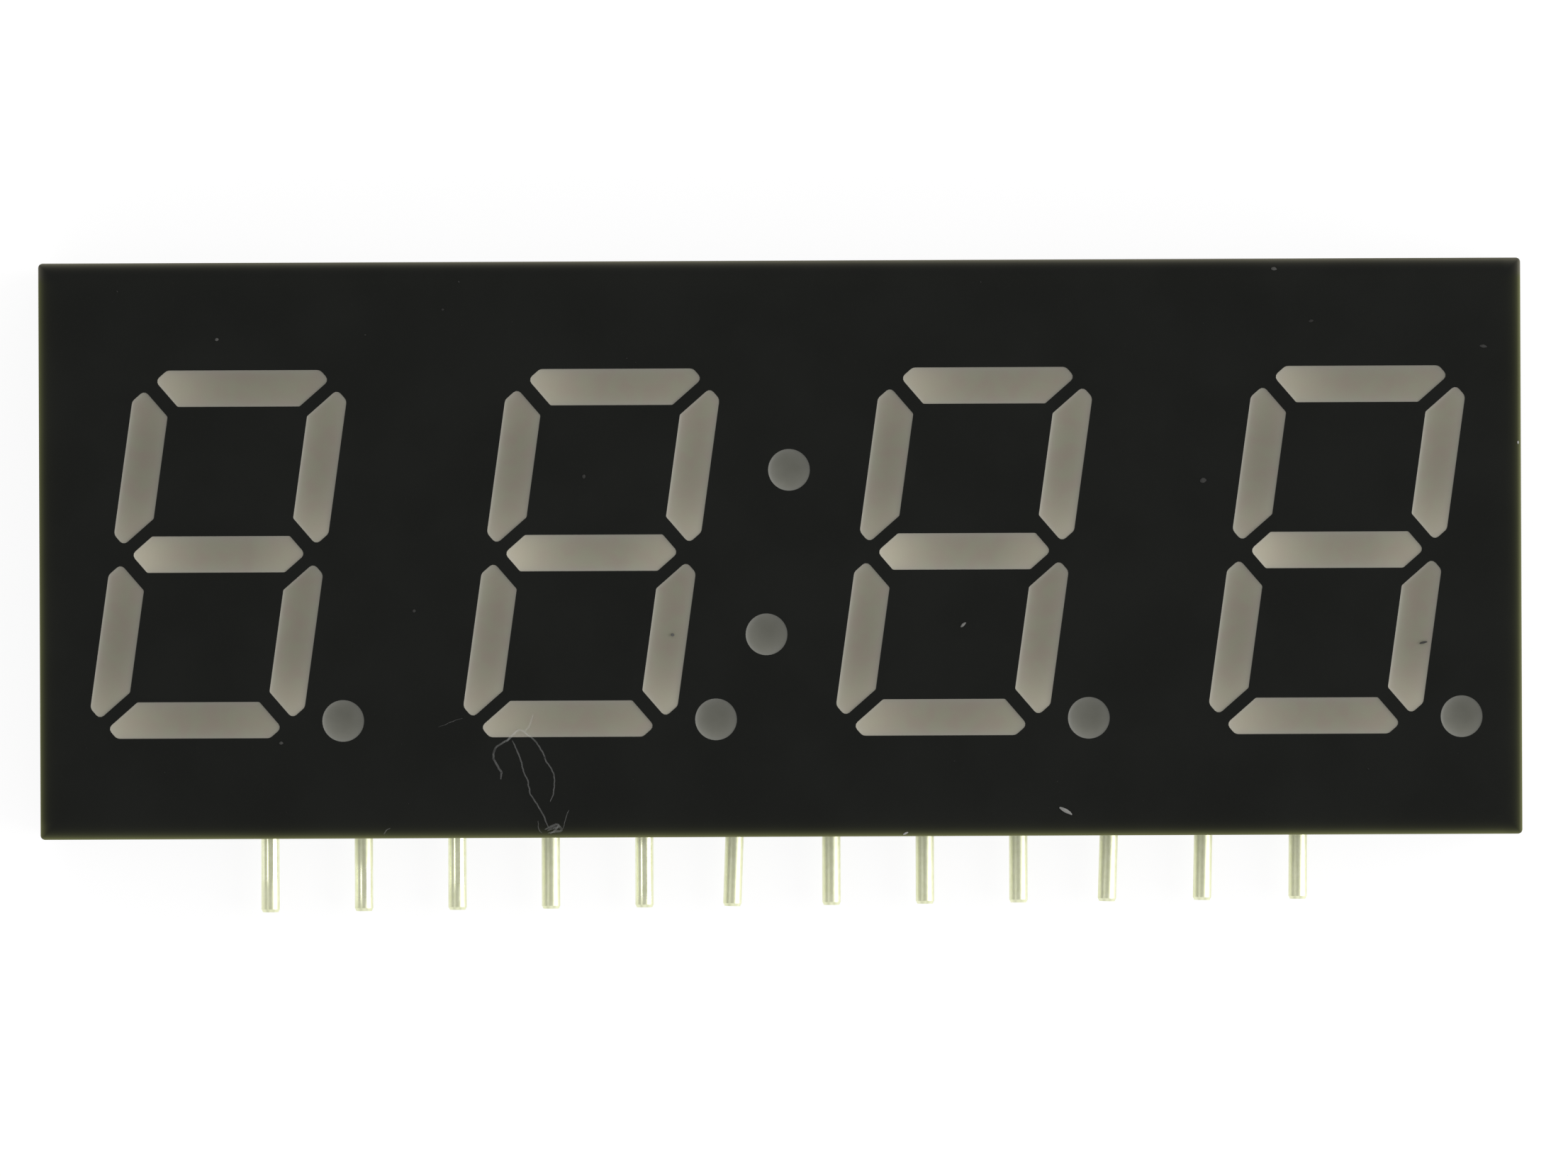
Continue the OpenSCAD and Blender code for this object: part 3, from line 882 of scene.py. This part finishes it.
def make_dust(repeat, thread):
    """Flecks and lint that lie on the face."""
    rows = list(FLECKS)
    fine = random.Random(FINE_SEED)
    for _ in range(FINE_FLECKS):
        x = fine.uniform(-HALF_W + FINE_BORDER, HALF_W - FINE_BORDER)
        y = fine.uniform(-HALF_H + FINE_BORDER, HALF_H - FINE_BORDER)
        size = FINE_W + FINE_W_MORE * fine.random() ** 3
        turn = fine.uniform(0, 180)
        shade = fine.uniform(*FINE_TONES)
        if not on_digit(x, y):
            rows.append((x, y, size * FINE_STRETCH, size, size, turn, shade))
    places = [(x, y, height * FLECK_LIFT) for x, y, length, width, height, turn, shade in rows]
    sizes = [(length, width, height) for x, y, length, width, height, turn, shade in rows]
    turns = [(0.0, 0.0, math.radians(row[5])) for row in rows]
    lights = [tone(row[6], row[6], row[6])[0] for row in rows]
    base = place_mesh("dust_flecks", places, (), sizes, turns, lights)
    keep("dust_flecks", grow(repeat, base, {"Shape": fleck_shape(), "Material": dust()}))

    points = []
    edges = []
    sizes = []
    for first, last, strand in LINT:
        start = len(points)
        end = len(strand) - 1
        points += [(x, y, LINT_LIFT - edge_drop(y)) for x, y in strand]
        edges += [(i, i + 1) for i in range(start, start + end)]
        shares = [first + (last - first) * i / end for i in range(end + 1)]
        shares[0] *= LINT_END
        shares[end] *= LINT_END
        sizes += [(share, 1.0, 1.0) for share in shares]
    values = {
        "Thickness": LINT_D * MM,
        "Spacing": LINT_STEP * MM,
        "Wave": LINT_WAVE * MM,
        "Wave size": LINT_WAVE_L * MM,
        "Material": lint_fibre(),
    }
    keep("lint", grow(thread, place_mesh("lint", points, edges, sizes), values))


# Back of the circuit board

TRACK_W = 0.3
TRACK_T = 0.05
TRACK_TURN_R = 0.4
TRACK_LINES = 6
# Height over the pin row where the tracks start, of the first cross line, and between cross lines
TRACK_START = 0.4
FIRST_LINE = 1.7
LINE_STEP = 1.35
# Width and height of a track's slanted stretch
BEND = 0.7
# Place of the first inner end beside the middle, step to the next, and least length of a cross line
FIRST_END = 0.8
END_STEP = 0.55
SHORTEST_LINE = 1.2
# Filled hole at the end of a track: radius and height of each ring, and the height of its middle
HOLE_POINTS = 24
HOLE_RINGS = [(0.05, -0.015), (0.1, -0.035), (0.16, -0.045), (0.26, -0.04), (0.32, 0.01)]
HOLE_MIDDLE_Z = -0.01


def pin_x(i):
    """Place of a pin along the row, counted from 1 at the left."""
    return (i - (PIN_COUNT + 1) / 2) * PIN_PITCH + PINS_X


def make_tracks(repeat, track, mask):
    """Copper tracks that lead from the pins to the digits, under the mask, with a hole at each end."""
    points = []
    edges = []
    ends = []
    for i in range(1, PIN_COUNT + 1):
        rank = min(i, PIN_COUNT + 1 - i)
        side = -1 if i <= PIN_COUNT / 2 else 1
        line_y = PIN_ROW_Y + FIRST_LINE + (TRACK_LINES - rank) * LINE_STEP
        inner_x = side * (FIRST_END + END_STEP * rank)
        route = [(pin_x(i), PIN_ROW_Y + TRACK_START)]
        route += [(pin_x(i), line_y - BEND), (pin_x(i) - side * BEND, line_y)]
        if abs(inner_x) < abs(pin_x(i)) - SHORTEST_LINE:
            route.append((inner_x, line_y))
        start = len(points)
        points += [(x, y, BOARD_BACK) for x, y in route]
        edges += [(k, k + 1) for k in range(start, len(points) - 1)]
        ends.append((*route[-1], BOARD_BACK))
    values = {
        "Width": TRACK_W * MM,
        "Height": TRACK_T * MM,
        "Turn radius": TRACK_TURN_R * MM,
        "Material": mask,
    }
    keep("copper_tracks", grow(track, place_mesh("copper_tracks", points, edges), values))

    rings = [[(r * x, r * y, z) for x, y in circle(HOLE_POINTS)] for r, z in HOLE_RINGS]
    skin = loft("hole", [(0, 0, HOLE_MIDDLE_Z)], [0] * HOLE_POINTS, rings, {}, 0)
    values = {"Shape": shape_object("hole_shape", [skin]), "Material": mask}
    keep("board_holes", grow(repeat, place_mesh("board_holes", ends), values))


# Stage, light and camera

# The picture's width in pixels, its scale at the face, and the camera's distance in millimetres
PHOTO_W = 2212
PX_PER_MM = 52.65
VIEW_D = 480.0
# How the display is turned, in degrees, and moved, in millimetres, in front of the camera
VIEW_TURN = Vector((0.185, 0.109, 0.242))
VIEW_SHIFT = Vector((-0.097, 1.054, -0.492))
SENSOR_W = 36.0


def make_camera():
    """A long lens that looks straight down on the face."""
    facing = Quaternion(VIEW_TURN.normalized(), math.radians(VIEW_TURN.length)).to_matrix().transposed()
    eye = facing @ (Vector((0, 0, VIEW_D)) - VIEW_SHIFT)
    lens = bpy.data.cameras.new("camera")
    lens.sensor_width = SENSOR_W
    lens.lens = SENSOR_W * PX_PER_MM * VIEW_D / PHOTO_W
    lens.clip_start = 0.01
    lens.clip_end = 50.0
    camera = bpy.data.objects.new("camera", lens)
    camera.matrix_world = Matrix.Translation(eye * MM) @ facing.to_4x4()
    bpy.context.scene.collection.objects.link(camera)
    bpy.context.scene.camera = camera


# Level of the surroundings overhead
SKY = 0.56
# Lamps: place in metres, width, height and watts
LAMPS = {
    "side_panel": ((0.445, 0.0, 0.227), 0.40, 0.48, 1.86),
    "small_lamp": ((-0.35, 0.02, 0.50), 0.16, 0.16, 0.14),
    "head_panel": ((0.0, 0.40, 0.40), 0.50, 0.30, 0.31),
    "foot_panel": ((0.0, -0.40, 0.40), 0.50, 0.30, 0.31),
}
# Table: half its width in metres, gap below the display in millimetres, own light, and matt share
TABLE_HALF = 3.0
TABLE_GAP = 0.02
TABLE_LIGHT = 0.87
TABLE_MATT = 0.19
# Painted shadow under the display: share of the table's own light that is lost there, and how far in that
# takes
PAINTED_SHADOW_LOSS = 0.9
PAINTED_SHADOW_REACH = 0.4


def seen_rays(sheet):
    """1 for rays that show the background, straight or in a reflection."""
    rays = sheet.add("ShaderNodeLightPath", output="Is Camera Ray")
    return rays.high(rays.out("Is Glossy Ray")).high(rays.out("Is Transmission Ray"))


def make_world():
    """Surroundings that are white up to a little above the table and pale grey overhead."""
    world = bpy.data.worlds.new("surroundings")
    bpy.context.scene.world = world
    world.use_nodes = True
    sheet = Sheet(world.node_tree)
    background = world.node_tree.nodes["Background"]
    x, y, z = sheet.axes(sheet.add("ShaderNodeTexCoord", output="Generated"))
    sheet.set(background.inputs["Color"], sheet.mix(z.ease(0.08, 0.4), grey(1.0), grey(SKY)))
    background.inputs["Strength"].default_value = 1.0


def make_lamp(name, place, width, height, watts):
    """A soft panel that faces the display."""
    light = bpy.data.lights.new(name, "AREA")
    light.shape = "RECTANGLE"
    light.size = width
    light.size_y = height
    light.energy = watts
    lamp = bpy.data.objects.new(name, light)
    lamp.location = place
    lamp.rotation_euler = (-Vector(place)).to_track_quat("-Z", "Y").to_euler()
    bpy.context.scene.collection.objects.link(lamp)


def make_floor():
    """White table with painted shade under the display, that shows the display's cast shadow and lets
    light pass from below.
    """
    half = TABLE_HALF
    mesh = bpy.data.meshes.new("floor")
    z = (BACK_Z - TABLE_GAP) * MM
    corners = [(-half, -half, z), (half, -half, z), (half, half, z), (-half, half, z)]
    mesh.from_pydata(corners, [], [(0, 1, 2, 3)])
    floor = bpy.data.objects.new("floor", mesh)
    bpy.context.scene.collection.objects.link(floor)
    material = bpy.data.materials.new("white_table")
    material.use_nodes = True
    tree = material.node_tree
    tree.nodes.remove(tree.nodes["Principled BSDF"])
    sheet = Sheet(tree)
    behind = sheet.add("ShaderNodeNewGeometry", output="Backfacing")
    seen = seen_rays(sheet) * (1 - behind)
    x, y, z = sheet.axes(sheet.add("ShaderNodeTexCoord", output="Object"))
    inside = (HALF_W * MM - abs(x)).low(HALF_H * MM - abs(y))
    # Painted shadow: the table's own light fades under the display
    under = inside.ease(0.0, PAINTED_SHADOW_REACH * MM)
    own_light = sheet.mix(under, grey(TABLE_LIGHT), grey(TABLE_LIGHT * (1 - PAINTED_SHADOW_LOSS)))
    glow = sheet.add("ShaderNodeEmission", {}, {"Color": own_light, "Strength": 1.0})
    matt = sheet.add("ShaderNodeBsdfDiffuse", {}, {"Color": grey(TABLE_MATT)})
    table = sheet.add("ShaderNodeAddShader", {}, {0: glow, 1: matt})
    clear = sheet.add("ShaderNodeBsdfTransparent")
    both = sheet.add("ShaderNodeMixShader", {}, {0: seen, 1: clear, 2: table})
    sheet.set(tree.nodes["Material Output"].inputs["Surface"], both)
    mesh.materials.append(material)


bpy.context.scene.view_settings.view_transform = "Standard"
make_camera()
make_world()
for name, (place, width, height, watts) in LAMPS.items():
    make_lamp(name, place, width, height, watts)
make_floor()

# The display

bar_resin = resin(
    "cast_resin",
    dark=tone(121, 114, 102),
    light=tone(120, 119, 103),
    # The pale tone is the colour of the painted light toward the bars' ends
    pale=tone(173, 167, 149),
    rim_tone=tone(134, 133, 128),
    rim_share=0.45,
    first_digit_painted_shade=0.06,
)
dot_resin = resin(
    "cast_resin_dots",
    dark=tone(86, 86, 78),
    light=tone(90, 90, 82),
    pale=tone(105, 105, 96),
    rim_tone=tone(96, 96, 93),
    rim_share=0.5,
)
track_mask = board_mask("mask_over_copper", tone(48, 112, 62), tone(56, 122, 70))
bare_mask = board_mask("board_mask", tone(26, 78, 42), tone(34, 90, 50))

clothe("housing", black_coat())
clothe("circuit_board", bare_mask)
die = bare_die()
for n in range(1, DIGIT_COUNT + 1):
    clothe(f"digit_{n}_dice", die)
clothe("colon_dice", die)
dull_wire = tinned_wire("dull_tinned_wire")
for i in range(1, PIN_COUNT + 1):
    wire = dull_wire
    if i in BRIGHT_PINS:
        wire = tinned_wire(f"bright_tinned_wire_{i}", BRIGHT_PINS[i])
    clothe(f"pin_{i}", wire)
clothe("solder_joints", solder())

repeat = repeat_tree()
make_resin(repeat, bar_resin, dot_resin)
make_dust(repeat, thread_tree())
make_tracks(repeat, track_tree(), track_mask)
